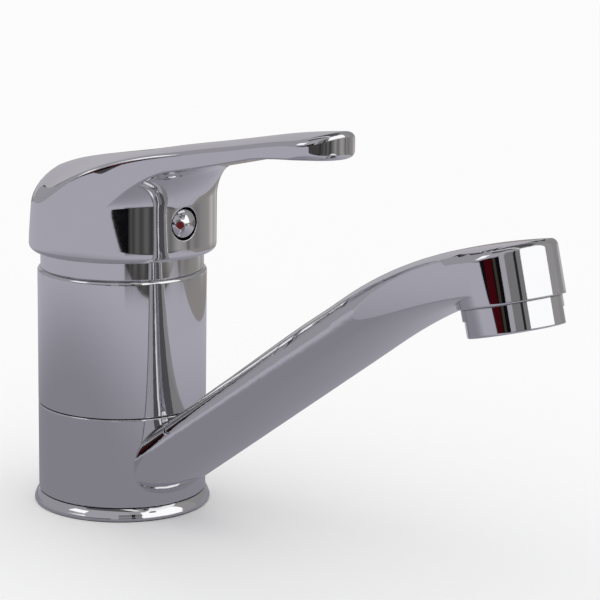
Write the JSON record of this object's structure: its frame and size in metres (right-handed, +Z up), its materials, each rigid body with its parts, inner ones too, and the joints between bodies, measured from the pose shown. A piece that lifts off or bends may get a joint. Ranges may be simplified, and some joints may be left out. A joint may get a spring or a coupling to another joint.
{
  "type": "single lever basin mixer tap",
  "caption": "Deck-mounted single-lever basin mixer with a rising swivel spout, a round body with a mixing cartridge, and a lever that turns and lifts.",
  "frame": {"origin": "centre of the body's foot on the deck, on the axis that the spout and the lever turn about", "axes": "+Z up along the body; the spout and the lever point along -Y; X across, hot inlet at -X and cold inlet at +X"},
  "size_m": [0.0556, 0.1911, 0.1208],
  "materials": {
    "chrome": "polished chrome plate",
    "black_rubber": "matt moulded rubber",
    "white_nylon": "smooth moulded nylon",
    "grey_plastic": "moulded, slightly grained",
    "ceramic": "lapped ceramic",
    "raw_brass": "machined brass",
    "stainless_steel": "plain stainless steel",
    "red_enamel": "glossy red enamel",
    "blue_enamel": "glossy blue enamel"
  },
  "bodies": {
    "body": {"valve_body": "chrome", "base_ring": "chrome", "base_gasket": "black_rubber", "collar_seals": "black_rubber", "slide_rings": "white_nylon", "cartridge_base": "grey_plastic", "port_seals": "black_rubber", "fixed_disc": "ceramic", "cartridge_housing": "grey_plastic", "cartridge_nut": "raw_brass", "cap_seal": "black_rubber", "cap_ring": "chrome"},
    "spout_arm": {"spout": "chrome", "aerator_housing": "chrome", "aerator_insert": "grey_plastic", "aerator_screen": "stainless_steel", "aerator_washer": "black_rubber"},
    "rotor": {"stem_carrier": "grey_plastic", "stem_pin": "stainless_steel"},
    "lever": {"lever_handle": "chrome", "cartridge_stem": "raw_brass", "set_screw": "stainless_steel", "index_plug": "chrome", "hot_dot": "red_enamel", "cold_dot": "blue_enamel"},
    "slider": {"moving_disc": "ceramic", "disc_carrier": "grey_plastic"}
  },
  "joints": [
    {"name": "spout_swivel", "type": "hinge", "parent": "body", "child": "spout_arm", "pos_m": [0, 0, 0.017], "axis": [0, 0, 1], "continuous": true},
    {"name": "lever_turn", "type": "hinge", "parent": "body", "child": "rotor", "pos_m": [0, 0, 0.065], "axis": [0, 0, 1], "range_deg": [-50, 50]},
    {"name": "lever_tilt", "type": "hinge", "parent": "rotor", "child": "lever", "pos_m": [0, 0, 0.065], "axis": [-1, 0, 0], "range_deg": [0, 25]},
    {"name": "disc_slide", "type": "slide", "parent": "rotor", "child": "slider", "axis": [0, -1, 0], "range_m": [0, 0.0039]}
  ],
  "couplings": [
    {"joint": "disc_slide", "follows": "lever_tilt", "m_per_rad": 0.0087}
  ]
}
